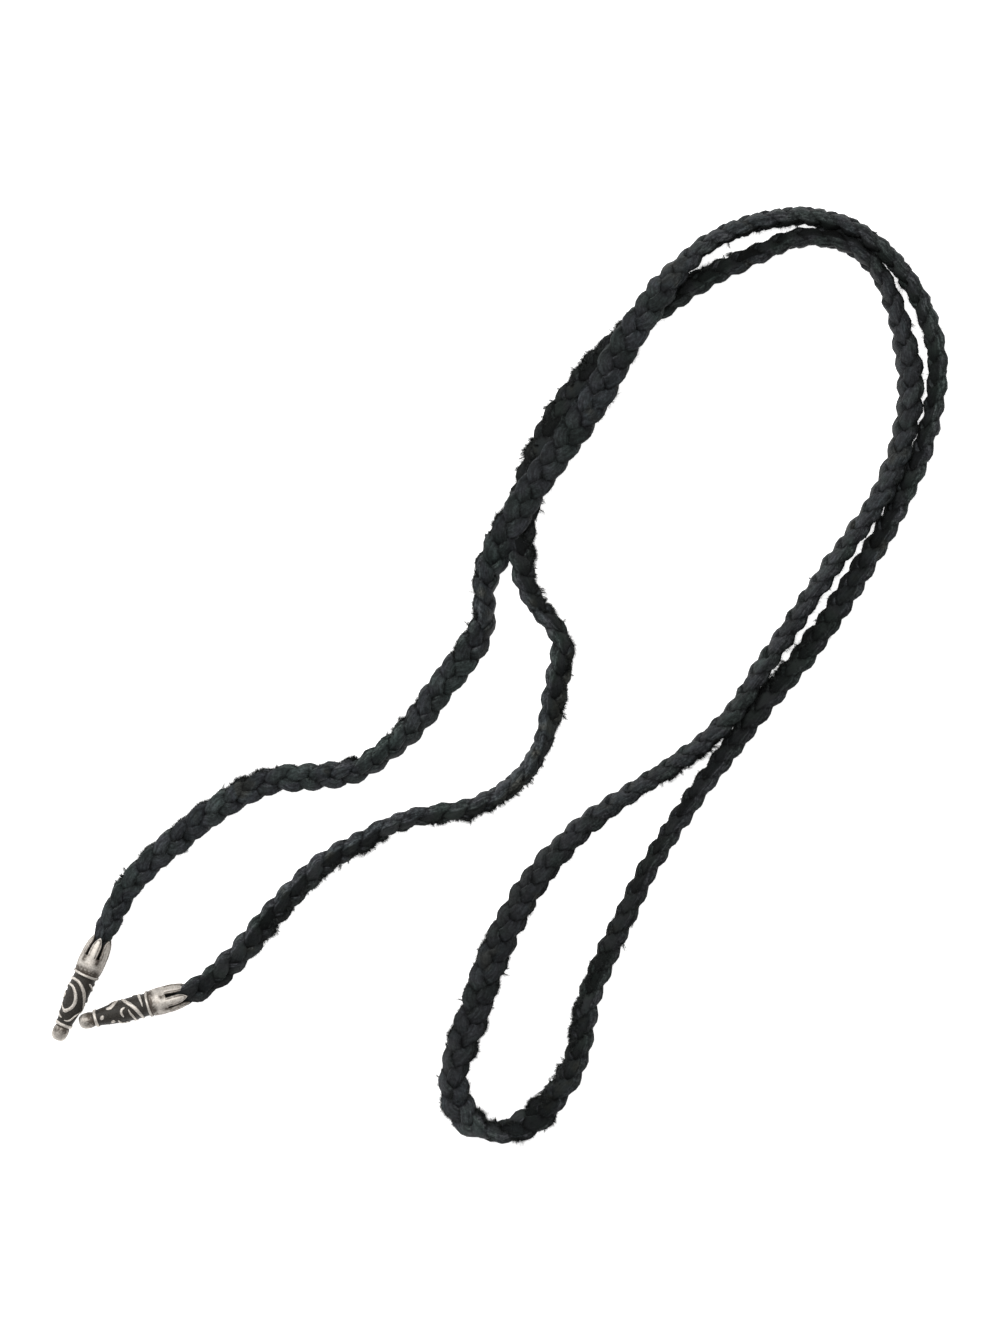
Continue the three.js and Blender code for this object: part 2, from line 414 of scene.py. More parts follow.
def tube_faces(rings, sides, start=0):
    """Quads between rings of points, and a closing face at each end."""
    faces = []
    for ring in range(rings - 1):
        a = start + ring * sides
        b = a + sides
        for side in range(sides):
            after = (side + 1) % sides
            faces.append((a + side, a + after, b + after, b + side))
    faces.append(tuple(start + side for side in reversed(range(sides))))
    last = start + (rings - 1) * sides
    faces.append(tuple(last + side for side in range(sides)))
    return faces


class Nodes:
    """Short ways to build one material's nodes."""

    def __init__(self, name):
        self.material = bpy.data.materials.new(name)
        self.material.use_nodes = True
        self.tree = self.material.node_tree
        self.shader = self.tree.nodes["Principled BSDF"]
        self.place = self.tree.nodes.new("ShaderNodeTexCoord").outputs["Object"]

    def feed(self, socket, value):
        """Links another node's output to a socket, or sets a plain value on it."""
        if isinstance(value, bpy.types.NodeSocket):
            self.tree.links.new(value, socket)
        else:
            socket.default_value = value

    def put(self, node, **inputs):
        """Feeds a node's inputs by name, with _ for a space."""
        for label, value in inputs.items():
            self.feed(node.inputs[label.replace("_", " ")], value)

    def noise(self, scale, detail=3.0, roughness=0.6, place=None):
        """Noise of that many features a metre."""
        node = self.tree.nodes.new("ShaderNodeTexNoise")
        self.put(node, Vector=place or self.place, Scale=scale, Detail=detail, Roughness=roughness)
        return node.outputs["Fac"]

    def cells(self, scale):
        """Distance to the nearest cell centre, in a pattern of that many cells a metre."""
        node = self.tree.nodes.new("ShaderNodeTexVoronoi")
        self.put(node, Vector=self.place, Scale=scale)
        return node.outputs["Distance"]

    def attribute(self, label, output="Fac"):
        node = self.tree.nodes.new("ShaderNodeAttribute")
        node.attribute_name = label
        return node.outputs[output]

    def math(self, operation, a, b):
        node = self.tree.nodes.new("ShaderNodeMath")
        node.operation = operation
        self.feed(node.inputs[0], a)
        self.feed(node.inputs[1], b)
        return node.outputs[0]

    def ramp(self, value, stops):
        """Colours or greys at those places of a value from 0 to 1."""
        node = self.tree.nodes.new("ShaderNodeValToRGB")
        self.feed(node.inputs["Fac"], value)
        elements = node.color_ramp.elements
        while len(elements) < len(stops):
            elements.new(0.5)
        for element, (position, colour) in zip(elements, stops):
            element.position = position
            if isinstance(colour, (int, float)):
                colour = (colour, colour, colour)
            element.color = (*colour, 1.0)
        return node.outputs["Color"]

    def mix(self, factor, a, b, blend="MIX"):
        """Mixes two greys or colours, as outputs of nodes or as a plain red, green and blue."""
        node = self.tree.nodes.new("ShaderNodeMix")
        node.data_type = "RGBA"
        node.blend_type = blend
        self.feed(node.inputs[0], factor)
        for socket, value in ((node.inputs[6], a), (node.inputs[7], b)):
            if isinstance(value, tuple):
                value = (*value, 1.0)
            self.feed(socket, value)
        return node.outputs[2]

    def bump(self, height, distance, strength=1.0, under=None):
        """Bumps of that height in metres, on top of those under them."""
        node = self.tree.nodes.new("ShaderNodeBump")
        self.put(node, Height=height, Distance=distance, Strength=strength)
        if under is not None:
            self.put(node, Normal=under)
        return node.outputs["Normal"]


def leather_colour(n, blotches, flecks):
    """Black of the smooth side, the suede and the raw edges, with its hues, its lighter and darker
    stretches along the cord, and painted shade in the creases.
    """
    # The tone mark holds the leather's own uneven tone, and painted light where a lace lies outermost.
    tone = n.attribute("tone")
    smooth_side = n.ramp(n.mix(0.40, tone, blotches), [
        (0.32, (0.0115, 0.0135, 0.0137)),
        (0.68, (0.037, 0.041, 0.042)),
    ])
    suede = n.ramp(n.mix(0.5, flecks, tone), [
        (0.36, (0.003, 0.0036, 0.0034)),
        (0.50, (0.0095, 0.0110, 0.0105)),
        (0.64, (0.028, 0.031, 0.029)),
    ])
    raw_edge = n.ramp(flecks, [
        (0.39, (0.0045, 0.0051, 0.005)),
        (0.50, (0.028, 0.031, 0.031)),
        (0.60, (0.090, 0.095, 0.093)),
    ])
    hue = n.ramp(n.noise(120.0, 2.0), [
        (0.34, (0.84, 1.02, 0.96)),
        (0.44, (0.92, 1.0, 1.0)),
        (0.52, (0.98, 0.94, 1.06)),
        (0.60, (0.90, 0.98, 1.06)),
        (0.68, (1.05, 1.0, 0.92)),
    ])
    worn = n.ramp(flecks, [(0.41, 0.42), (0.5, 0.90), (0.59, 1.8)])
    # Painted shade: the leather is darkened where another lace lies close over it.
    painted_crease_shade = n.ramp(n.attribute("crease_shade"), [(0.0, 1.0), (0.35, 0.62), (0.85, 0.12)])
    colour = n.mix(1.0, smooth_side, worn, "MULTIPLY")
    colour = n.mix(n.attribute("grain"), suede, colour)
    colour = n.mix(n.attribute("edge"), colour, raw_edge)
    for share in (hue, n.attribute("stretch_brightness", "Vector"), painted_crease_shade):
        colour = n.mix(1.0, colour, share, "MULTIPLY")
    return colour


def black_leather():
    """Leather laces: smooth grain on one side, suede on the other, raw edges and painted shade in the
    creases.
    """
    n = Nodes("braided_black_leather")
    blotches = n.noise(700.0, 3.0)
    streaks = n.noise(2.2, 4.0, 0.7, n.attribute("place", "Vector"))
    flecks = n.mix(0.5, n.noise(1700.0, 5.0, 0.85), streaks)
    pores = n.bump(n.cells(1900.0), 0.00005, 0.35)
    nap = n.bump(flecks, 0.0004, 1.0, pores)
    n.put(
        n.shader,
        Base_Color=leather_colour(n, blotches, flecks),
        Roughness=n.ramp(n.mix(0.35, n.attribute("grain"), blotches), [(0.2, 0.95), (0.8, 0.62)]),
        Specular_IOR_Level=0.14,
        Normal=n.bump(blotches, 0.0004, 0.6, nap),
    )
    return n.material


def leather_fibre():
    """Nap, tufts and loose fibres of the raw leather."""
    n = Nodes("loose_leather_fibre")
    tone = n.ramp(n.noise(1700.0, 4.0, 0.8), [
        (0.36, (0.003, 0.0035, 0.0033)),
        (0.5, (0.011, 0.0125, 0.012)),
        (0.66, (0.060, 0.066, 0.064)),
    ])
    n.put(n.shader, Base_Color=tone, Roughness=0.9, Specular_IOR_Level=0.1)
    return n.material


def oxidised_silver():
    """Satin, slightly yellowed silver with black oxide left in its recesses, browned by tarnish and by
    painted shade on the cap's two sides.
    """
    n = Nodes("oxidised_silver_cast")
    clouds = n.noise(900.0, 4.0, 0.65)
    specks = n.noise(3600.0, 3.0, 0.6)
    grain = n.mix(0.5, clouds, specks)
    unevenness = n.math("MULTIPLY", n.math("SUBTRACT", specks, 0.5), 0.5)
    worn = n.math("ADD", n.attribute("relief"), unevenness)
    bright = n.ramp(grain, [(0.38, (0.48, 0.44, 0.395)), (0.58, (0.78, 0.74, 0.69))])
    dark = n.ramp(specks, [(0.3, (0.008, 0.008, 0.007)), (0.7, (0.042, 0.039, 0.035))])
    colour = n.mix(n.ramp(worn, [(0.34, 0.0), (0.72, 1.0)]), dark, bright)
    patches = n.ramp(n.mix(0.5, clouds, n.noise(1500.0, 3.0, 0.7)), [(0.40, 0.35), (0.56, 1.0)])
    # Browns the silver with its tarnish, and with painted shade on the cap's two sides.
    tarnish_and_shade = n.math("MULTIPLY", n.math("ADD", n.attribute("stain_and_shade"), 0.16), patches)
    n.put(
        n.shader,
        Base_Color=n.mix(n.math("MINIMUM", tarnish_and_shade, 0.94), colour, (0.070, 0.056, 0.044)),
        Metallic=n.ramp(worn, [(0.3, 0.1), (0.6, 0.7)]),
        Specular_IOR_Level=0.25,
        Roughness=n.ramp(grain, [(0.3, 0.48), (0.7, 0.66)]),
        Normal=n.bump(n.mix(0.6, specks, clouds), 0.00006, 0.6),
    )
    return n.material


def pale_surface():
    """The white ground under the necklace."""
    n = Nodes("pale_surface")
    tone = n.ramp(n.noise(6.0, 2.0), [(0.3, 0.86), (0.7, 0.88)])
    n.put(
        n.shader, Base_Color=tone, Emission_Color=tone, Emission_Strength=0.95, Roughness=0.9,
        Specular_IOR_Level=0.1,
    )
    return n.material


# ---------------------------------------------------------------- camera, lights, ground

CAMERA_HEIGHT = 0.95
CAMERA_SHIFT_UP = 0.0009
PICTURE_HEIGHT = 0.2666
SENSOR_WIDTH = 36.0
WORLD_STRENGTH = 0.30
GROUND_HALF_WIDTH = 6000.0


def make_camera():
    """Looks straight down from well above, so that the necklace is seen in plan."""
    data = bpy.data.cameras.new("camera")
    data.sensor_fit = "AUTO"
    data.sensor_width = SENSOR_WIDTH
    data.lens = SENSOR_WIDTH * CAMERA_HEIGHT / PICTURE_HEIGHT
    data.clip_start = 0.01
    camera = bpy.data.objects.new("camera", data)
    camera.location = (0.0, CAMERA_SHIFT_UP, CAMERA_HEIGHT)
    bpy.context.scene.collection.objects.link(camera)
    bpy.context.scene.camera = camera


def make_light(name, place, size, power, colour):
    """A soft square lamp that faces the middle of the necklace."""
    data = bpy.data.lights.new(name, "AREA")
    data.size = size
    data.energy = power
    data.color = colour
    lamp = bpy.data.objects.new(name, data)
    lamp.location = place
    lamp.rotation_mode = "QUATERNION"
    lamp.rotation_quaternion = (-Vector(place)).to_track_quat("-Z", "Y")
    bpy.context.scene.collection.objects.link(lamp)


def make_lights():
    """Two soft lamps in an evenly lit white room."""
    make_light("lamp_overhead", (-0.15, 0.25, 1.4), 0.7, 12.0, (1.0, 0.99, 0.97))
    make_light("lamp_upper_left", (-0.9, 0.6, 0.9), 0.5, 9.0, (1.0, 1.0, 1.0))
    world = bpy.data.worlds.new("soft_room")
    world.use_nodes = True
    background = world.node_tree.nodes["Background"]
    background.inputs["Color"].default_value = (1.0, 1.0, 1.0, 1.0)
    background.inputs["Strength"].default_value = WORLD_STRENGTH
    bpy.context.scene.world = world
    bpy.context.scene.view_settings.view_transform = "Standard"


def make_ground(material):
    """A flat floor that reaches past the edge of every view."""
    half = GROUND_HALF_WIDTH
    corners = [(-half, -half, 0.0), (half, -half, 0.0), (half, half, 0.0), (-half, half, 0.0)]
    new_object("ground", corners, [(0, 1, 2, 3)], material)


# ---------------------------------------------------------------- the plait's laces


def lace_section(width, thickness):
    """Points round a lace, across and up from its middle, and what shows at each: grain, edge."""
    angle = (np.arange(LACE_SIDES) + 0.5) * 2 * np.pi / LACE_SIDES
    power = 2 / SECTION_SQUARENESS
    across = np.sign(np.cos(angle)) * np.abs(np.cos(angle)) ** power
    up = np.sign(np.sin(angle)) * np.abs(np.sin(angle)) ** power
    grain = np.clip(0.5 + GRAIN_SHARPNESS * np.sin(angle), 0, 1)
    edge = between(np.abs(np.cos(angle)), EDGE_FROM, EDGE_TO)
    return across[None] * width[:, None] / 2, up[None] * thickness[:, None] / 2, grain, edge


def lace_course(rng, number, line, at, turn):
    """One lace's middle line, the directions across and up from it, and its width and thickness."""
    face, right = plait_axes(line, turn)
    squeeze = cap_squeeze(at)
    phase = 2 * np.pi * (at / LACE_PERIOD + number / LACE_COUNT) + wander(rng, at, *UNEVEN["phase"])
    tight = looked_up(TIGHTNESS, at)
    swing = squeeze * (LACE_SWING * tight + wander(rng, at, *UNEVEN["swing"]))
    rise = squeeze * (LACE_RISE + wander(rng, at, *UNEVEN["rise"]))
    sideways = swing * np.sin(phase)
    higher_waves = RISE_FOURTH * np.sin(4 * phase) + RISE_SIXTH * np.sin(6 * phase)
    outward = rise * (np.sin(2 * phase) + higher_waves)
    middle = line + right * sideways[:, None] + face * outward[:, None]
    run = unit(np.gradient(middle, axis=0))
    up = unit(face - run * (face * run).sum(axis=1)[:, None])
    side = np.cross(run, up)
    lean = np.radians(LEAN_FIRST * np.cos(phase) + LEAN_THIRD * np.cos(3 * phase))
    lean = lean + wander(rng, at, *UNEVEN["lean"])
    up = up * np.cos(lean)[:, None] + side * np.sin(lean)[:, None]
    turning = TURN_CHANGE * np.sin(phase) ** 6
    width = LACE_WIDTH * tight - turning + wander(rng, at, *UNEVEN["width"])
    thickness = LACE_THICKNESS + turning + wander(rng, at, *UNEVEN["thickness"])
    return {
        "middle": middle, "run": run, "side": np.cross(run, up), "up": up,
        "width": squeeze * width, "thickness": squeeze * thickness,
        "outermost": np.sin(phase) ** 2, "number": number,
    }


def lace_skin(rng, course, at):
    """Rings of points round a lace, with their outward directions and what the leather shows at each."""
    across, rise, grain, edge = lace_section(course["width"], course["thickness"])
    shape = across.shape
    outward = course["side"][:, None] * across[:, :, None] + course["up"][:, None] * rise[:, :, None]
    roughness = SMOOTH_ROUGHNESS + RAW_ROUGHNESS * np.maximum(edge, 1 - grain)
    uneven = rng.normal(0.0, 1.0, shape) * roughness * cap_squeeze(at)[:, None]
    outward = outward * (1 + uneven / np.linalg.norm(outward, axis=2))[:, :, None]
    # Painted light: the leather's own uneven tone is raised where the lace lies outermost.
    tone = TONE + OUTER_PAINTED_LIGHT * course["outermost"] + wander(rng, at, *UNEVEN["tone"])
    own_streaks = 1000.0 * course["number"]
    place = np.broadcast_to((at + own_streaks)[:, None] * STREAK_SHARE, shape)
    marks = {
        "stretch_brightness": np.broadcast_to(looked_up(CORD_BRIGHTNESS, at)[:, None], shape),
        "grain": np.broadcast_to(grain, shape),
        "edge": np.broadcast_to(edge, shape),
        "tone": np.broadcast_to(tone[:, None], shape),
        "place": np.stack([place, across, rise], axis=2),
    }
    return {"rings": course["middle"][:, None] + outward, "outward": outward, "marks": marks}


def closeness(points, other):
    """How near each point is to another lace's surface: 1 where they touch, 0 when well clear."""
    searches = 2
    caution = 0.8
    count = len(points)
    ring = np.broadcast_to(np.arange(count)[:, None], points.shape[:2])
    for _ in range(searches):
        offset = points - other["middle"][ring]
        ahead = (offset * other["run"][ring]).sum(axis=2) / RING_STEP
        ring = np.clip(ring + np.rint(caution * ahead).astype(int), 0, count - 1)
    offset = points - other["middle"][ring]
    across = (offset * other["side"][ring]).sum(axis=2) * 2 / other["width"][ring]
    rise = (offset * other["up"][ring]).sum(axis=2) * 2 / other["thickness"][ring]
    power = SECTION_SQUARENESS
    reach = (np.abs(across) ** power + np.abs(rise) ** power) ** (1 / power)
    return between(reach, CREASE_SHADE_REACH, 1.0)


def make_laces(line, at, turn):
    """The skins of the three laces, with the shade of the creases where one lies on another."""
    rng = np.random.default_rng(21)
    courses = [lace_course(rng, number, line, at, turn) for number in range(LACE_COUNT)]
    skins = [lace_skin(rng, course, at) for course in courses]
    for number, skin in enumerate(skins):
        outward = skin["rings"] - line[:, None]
        above = skin["rings"] + CREASE_SHADE_PROBE * outward / np.linalg.norm(outward, axis=2)[:, :, None]
        others = [courses[(number + step) % LACE_COUNT] for step in range(1, LACE_COUNT)]
        # Painted shade in the creases: how close another lace lies over each point.
        skin["marks"]["crease_shade"] = np.maximum.reduce([closeness(above, other) for other in others])
    return skins


def make_cord(skins, leather):
    """The three laces of the plait as one piece."""
    lowest = 0.02
    rings = len(skins[0]["rings"])
    faces = []
    for number in range(LACE_COUNT):
        faces += tube_faces(rings, LACE_SIDES, rings * LACE_SIDES * number)
    points = np.concatenate([skin["rings"].reshape(-1, 3) for skin in skins])
    points[:, 2] = np.maximum(points[:, 2], lowest)
    marks = []
    for label in skins[0]["marks"]:
        values = np.stack([skin["marks"][label] for skin in skins])
        marks.append((label, values.reshape(-1, *values.shape[3:])))
    cord = new_object("cord_plait", points, faces, leather, marks)
    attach(cord, "root")
    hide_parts("braided_cord")
    return cord


# ---------------------------------------------------------------- nap and loose fibres


def fray(chance, at, run, outward, times):
    """The chance of a fibre, raised that many times on the sides where the laces are frayed."""
    facing = 0.6
    left = np.cross([0.0, 0.0, 1.0], run)
    leftness = (outward * left[None, :, None]).sum(axis=3) / np.linalg.norm(outward, axis=3)
    for start, end, side in FRAYED:
        inside = (at >= start) & (at <= end)
        chance = chance * (1 + times * inside[None, :, None] * (leftness * side > facing))
    return chance


def fibre_roots(rng, skins, at, start, end, count, frayed_times=FRAYED_SINGLES):
    """Places on the laces along one stretch, mostly on raw edges and suede.

    Returns their points, outward and forward directions, and how ragged the leather is there.
    """
    rings = np.stack([skin["rings"] for skin in skins])
    outward = np.stack([skin["outward"] for skin in skins])
    grain, edge, crease_shade = (
        np.stack([skin["marks"][label] for skin in skins]) for label in ("grain", "edge", "crease_shade")
    )
    chance = SMOOTH_CHANCE + np.maximum(EDGE_CHANCE * edge ** 2, SUEDE_CHANCE * (1 - grain))
    chance = chance * (1 - CREASE_LOSS * crease_shade)
    ragged = np.stack([np.exp(wander(rng, at, *UNEVEN["raggedness"])) for _ in skins])
    ragged = np.broadcast_to(ragged[:, :, None], chance.shape)
    run = unit(np.gradient(rings.mean(axis=(0, 2)), axis=0))
    chance = fray(chance * ragged, at, run, outward, frayed_times)
    chance[:, (at < start) | (at > end)] = 0
    chosen = rng.choice(chance.size, count, p=chance.ravel() / chance.sum())
    along = np.gradient(rings, axis=1).reshape(-1, 3)[chosen]
    roots = rings.reshape(-1, 3)[chosen] + along * rng.uniform(-0.5, 0.5, (count, 1))
    raggedness = np.clip(ragged.ravel()[chosen], *RAGGEDNESS_LIMITS)
    return roots, unit(outward.reshape(-1, 3)[chosen]), unit(along), raggedness


def fibre_faces(count, bent):
    """Faces of that many three-sided fibres, each a point on one ring of corners, or on two."""
    tip = 6 if bent else 3
    pattern = [(2, 1, 0)]
    for corner in range(3):
        after = (corner + 1) % 3
        if bent:
            pattern.append((corner, after, 3 + after, 3 + corner))
        pattern.append((tip - 3 + corner, tip - 3 + after, tip))
    return [
        tuple((tip + 1) * number + corner for corner in face)
        for number in range(count) for face in pattern
    ]


def random_lengths(rng, count, least, extra, most, raggedness=1.0):
    """Lengths that are mostly near the least, longer where the leather is ragged."""
    return np.minimum((least + rng.exponential(extra, count)) * raggedness, most)


def make_fibres(name, rng, places, lengths, radii, spread, material, bent=True):
    """Pointed fibres that stand out of those places, straight or with one bend."""
    roots, out, along = places
    count = len(roots)
    aim = unit(out + along * FORWARD_LEAN + rng.normal(0.0, spread, (count, 3)))
    base = roots - out * ROOT_DEPTH
    base[:, 2] = np.maximum(base[:, 2], ROOT_CLEARANCE)
    tip = base + aim * (lengths + ROOT_DEPTH)[:, None]
    tip[:, 2] = np.maximum(tip[:, 2], TIP_CLEARANCE)
    side = unit(np.cross(aim, rng.normal(0.0, 1.0, (count, 3))))
    other = np.cross(aim, side)
    elbow = (base + tip) / 2 + side * rng.normal(0.0, ELBOW_BEND, (count, 1)) * lengths[:, None]
    rings = [(base, radii), (elbow, radii * ELBOW_TAPER)] if bent else [(base, radii)]
    levels = []
    for middle, radius in rings:
        for corner in range(3):
            angle = corner * 2 * np.pi / 3
            offset = side * math.cos(angle) + other * math.sin(angle)
            levels.append(middle + offset * radius[:, None])
    points = np.stack([*levels, tip], axis=1).reshape(-1, 3)
    points[:, 2] = np.maximum(points[:, 2], SIDE_CLEARANCE)
    fibres = new_object(name, points, fibre_faces(count, bent), material)
    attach(fibres, "root")


def make_nap(rng, skins, at, material):
    """Short straight nap along the whole cord, in pieces that follow each other."""
    stretch = (CORD_LENGTH - 2.0) / NAP_STRETCHES
    for number in range(NAP_STRETCHES):
        start = 1.0 + stretch * number
        *places, raggedness = fibre_roots(rng, skins, at, start, start + stretch, NAP_FIBRES)
        lengths = random_lengths(rng, NAP_FIBRES, 0.12, 0.22, 1.4, raggedness)
        radii = rng.uniform(0.018, 0.050, NAP_FIBRES)
        name = "nap_%d" % (number + 1)
        make_fibres(name, rng, places, lengths, radii, 0.85, material, bent=False)


def make_loose_fibres(rng, skins, at, material):
    """Single long fibres that have worked loose."""
    *places, _ = fibre_roots(rng, skins, at, 1.0, CORD_LENGTH - 1.0, LOOSE_FIBRES)
    lengths = random_lengths(rng, LOOSE_FIBRES, 0.6, 0.5, 2.8)
    radii = rng.uniform(0.014, 0.030, LOOSE_FIBRES)
    make_fibres("loose_fibres", rng, places, lengths, radii, 0.7, material)


def make_tufts(rng, skins, at, material):
    """Teased tufts, whose fibres start apart and draw together at the tip."""
    count = TUFTS * FIBRES_IN_TUFT
    roots, out, along, raggedness = fibre_roots(
        rng, skins, at, 1.0, CORD_LENGTH - 1.0, TUFTS, FRAYED_TUFTS
    )
    reach = random_lengths(rng, TUFTS, 0.38, 0.34, 2.2, raggedness)
    heading = unit(out + along * 0.4 + rng.normal(0.0, 0.3, (TUFTS, 3)))
    tips = np.repeat(roots + heading * reach[:, None], FIBRES_IN_TUFT, axis=0)
    tips = tips + rng.normal(0.0, 0.08, (count, 3))
    roots = np.repeat(roots, FIBRES_IN_TUFT, axis=0) + rng.normal(0.0, 0.13, (count, 3))
    lengths = np.repeat(reach, FIBRES_IN_TUFT) * rng.uniform(0.5, 1.1, count)
    radii = rng.uniform(0.022, 0.052, count)
    places = (roots, unit(tips - roots), np.zeros((count, 3)))
    make_fibres("frayed_tufts", rng, places, lengths, radii, 0.04, material)


# ---------------------------------------------------------------- end caps

# Half section of the cap behind its petals: distance along it from the petals' tips, and radius.
CAP_PROFILE = [
    (4.2, 2.70), (5.0, 2.75), (5.6, 2.77), (6.4, 2.72), (7.1, 2.65), (7.5, 2.58), (7.62, 2.44),
    (7.70, 2.44), (7.80, 2.56), (7.90, 2.65), (8.20, 2.65), (8.30, 2.56), (8.40, 2.34),
    (8.7, 2.26), (9.2, 2.28), (10.6, 2.32), (12.0, 2.31), (13.4, 2.25), (14.8, 2.14), (16.2, 1.98),
    (17.4, 1.80), (18.3, 1.66), (18.68, 1.62), (18.80, 1.74), (18.90, 1.80), (19.28, 1.80),
    (19.40, 1.72), (19.50, 1.42), (19.66, 1.38), (19.80, 1.46), (20.1, 1.56), (20.5, 1.60),
    (21.2, 1.58), (21.7, 1.50), (22.1, 1.34), (22.4, 1.10), (22.54, 0.88), (22.6, 0.6), (22.6, 0.0),
]
SHELL_START = 4.2
BARREL_START = 8.8
BARREL_END = 18.6
CAP_LENGTH = 22.6
CAP_SIDES = 168

# Spacing of the cap's rings up to the barrel, on it, and on the knob.
CAP_RINGS = [
    (SHELL_START, BARREL_START, 0.08), (BARREL_START, BARREL_END, 0.085),
    (BARREL_END, CAP_LENGTH, 0.07),
]

SOCKET_FLOOR = 5.8
SOCKET_RADIUS = 1.75
MIDDLE_RADIUS = 0.02

# Blackened grooves beside the two rings: distance along the cap, and half width. Relief runs
# from 0, black, to 1, polished.
DARK_GROOVES = [(7.66, 0.12), (8.46, 0.16), (18.62, 0.16), (19.60, 0.18)]
GROOVE_DARKNESS = 0.9
BODY_RELIEF = 0.8
PETAL_RELIEF = 0.85

PETAL_COUNT = 6
PETAL_END = 5.4
PETAL_ROWS = 41
PETAL_COLUMNS = 33
PETAL_WALL = 0.55
PETAL_LEAST_RADIUS = 1.66

# A petal's tip falls back this far at its sides and is this much thinner. Its middle is raised,
# its sides are rounded, and a groove runs just inside its border.
TIP_ROUNDING = 1.5
TIP_THINNING = 0.12
PETAL_CROWN = 0.12
SIDE_ROUNDING = 0.10
BORDER_DEPTH = 0.09
BORDER_INSET = 0.40
BORDER_HALF_WIDTH = 0.13

# Outer radius of a petal, and share of the slot's width beside it, at each distance along it.
PETAL_RADIUS = [(0.0, 1.95), (0.5, 2.10), (1.5, 2.38), (2.8, 2.60), (4.2, 2.71), (5.4, 2.76)]
SLOT_HALF_WIDTH = 0.32
SLOT_SHAPE = [(0.0, 1.0), (1.6, 0.7), (4.0, 1.1), (4.9, 1.0), (5.4, 0.4)]

# Raised lines of the barrel's scrollwork: half width, then distance along the cap and degrees
# round it, from one end of the line to the other. They stand this high, and are laid out on a
# barrel of this radius.
SCROLL_HEIGHT = 0.24
ORNAMENT_RADIUS = 2.15
SCROLL_STEPS = 14
SCROLLS = [
    (0.32, [(10.0, 110), (9.8, 70), (9.6, 40), (9.7, 17), (10.15, -2), (10.95, -22), (12.0, -40),
            (13.3, -58), (14.6, -80), (15.8, -108)]),
    (0.32, [(11.3, 112), (11.0, 62), (11.1, 34), (11.7, 15), (12.6, 0), (13.7, -9), (14.7, -8),
            (15.4, 0), (15.9, 12), (16.15, 28), (15.9, 46), (15.2, 62)]),
    (0.30, [(15.7, 4), (16.2, 16), (16.4, 30)]),
    (0.22, [(9.4, -42), (10.0, -64), (10.8, -100)]),
    (0.19, [(15.4, -92), (15.9, -60), (16.8, -42), (17.6, -30), (18.0, -14), (18.1, 4)]),
    (0.26, [(13.3, 112), (12.9, 86), (13.4, 66), (14.2, 74)]),
    (0.18, [(17.0, 74), (17.6, 52), (17.8, 30)]),
    (0.28, [(9.5, -80), (9.5, -114), (9.3, -140), (9.1, -160), (9.1, -178)]),
    (0.37, [(13.2, -88), (12.7, -120), (12.0, -143), (11.2, -163), (10.6, -182), (10.2, -202),
            (9.9, -225), (9.8, -255)]),
    (0.22, [(12.0, -180), (11.8, -198), (11.5, -220), (11.4, -250), (11.8, -280)]),
    (0.26, [(12.7, -164), (13.3, -170), (13.6, -184), (13.4, -204)]),
    (0.37, [(15.6, -222), (15.9, -227)]),
    (0.39, [(17.5, -178), (17.8, -190)]),
    (0.43, [(14.1, -108), (14.9, -128), (15.7, -142), (16.3, -140)]),
    (0.24, [(13.4, -268), (14.4, -246), (14.6, -226)]),
]


def placed(cap, radius, angle, along):
    """Points at those radii, angles to the right from the cap's top, and distances along it."""
    forward = cap_direction(cap)
    top = np.array([0.0, 0.0, 1.0]) - forward * forward[2]
    top /= np.linalg.norm(top)
    axes = np.array([np.cross(forward, top), forward, top])
    upright = np.stack([radius * np.sin(angle), along, radius * np.cos(angle)], axis=-1)
    return upright.reshape(-1, 3) @ axes + cap_mouth(cap)


def wrapped(angle):
    """The same angle between minus half a turn and half a turn."""
    return np.angle(np.exp(1j * angle))


def scroll_height(along, angle):
    """How much of the scrollwork stands at each place, from 0 to 1."""
    height = np.zeros(along.shape)
    for half_width, stops in SCROLLS:
        stops = np.array([(a, math.radians(b) * ORNAMENT_RADIUS, 0.0) for a, b in stops])
        curve = catmull_rom(stops, SCROLL_STEPS)
        for index, (a, b, _) in enumerate(curve):
            # A line narrows towards its ends, and is flat on top with steep sides.
            narrowed = math.sin(math.pi * (index + 4) / (len(curve) + 7)) ** 0.4
            sideways = wrapped(angle - b / ORNAMENT_RADIUS) * ORNAMENT_RADIUS
            away = np.hypot(along - a, sideways) / (half_width * narrowed)
            height = np.maximum(height, np.exp(-np.clip(away, 0, 9) ** 4 * 0.7))
    return height


def flank_painted_shade(angle):
    """Painted shade on the cap's two sides, where its surface faces sideways."""
    return 0.6 * between(np.abs(np.sin(angle)), 0.70, 0.95)


def body_stain_and_shade(cap, along, angle):
    """Tarnish round the ends of the slots, at the band's end and on the knob, and painted shade on the
    two sides.
    """
    from_slot = wrapped((angle - math.radians(cap["roll"])) * PETAL_COUNT) / PETAL_COUNT * 2.7
    past_slot = np.clip(along - PETAL_END + 0.4, 0, 9)
    return np.maximum.reduce([
        np.exp(-(np.hypot(from_slot, past_slot) / 0.6) ** 2),
        1.2 * between(along, 6.0, 7.2) * (along < 7.75),
        0.9 * between(along, 19.4, 19.6) * between(along, 22.2, 20.4),
        flank_painted_shade(angle) * (along < BARREL_START),
    ])


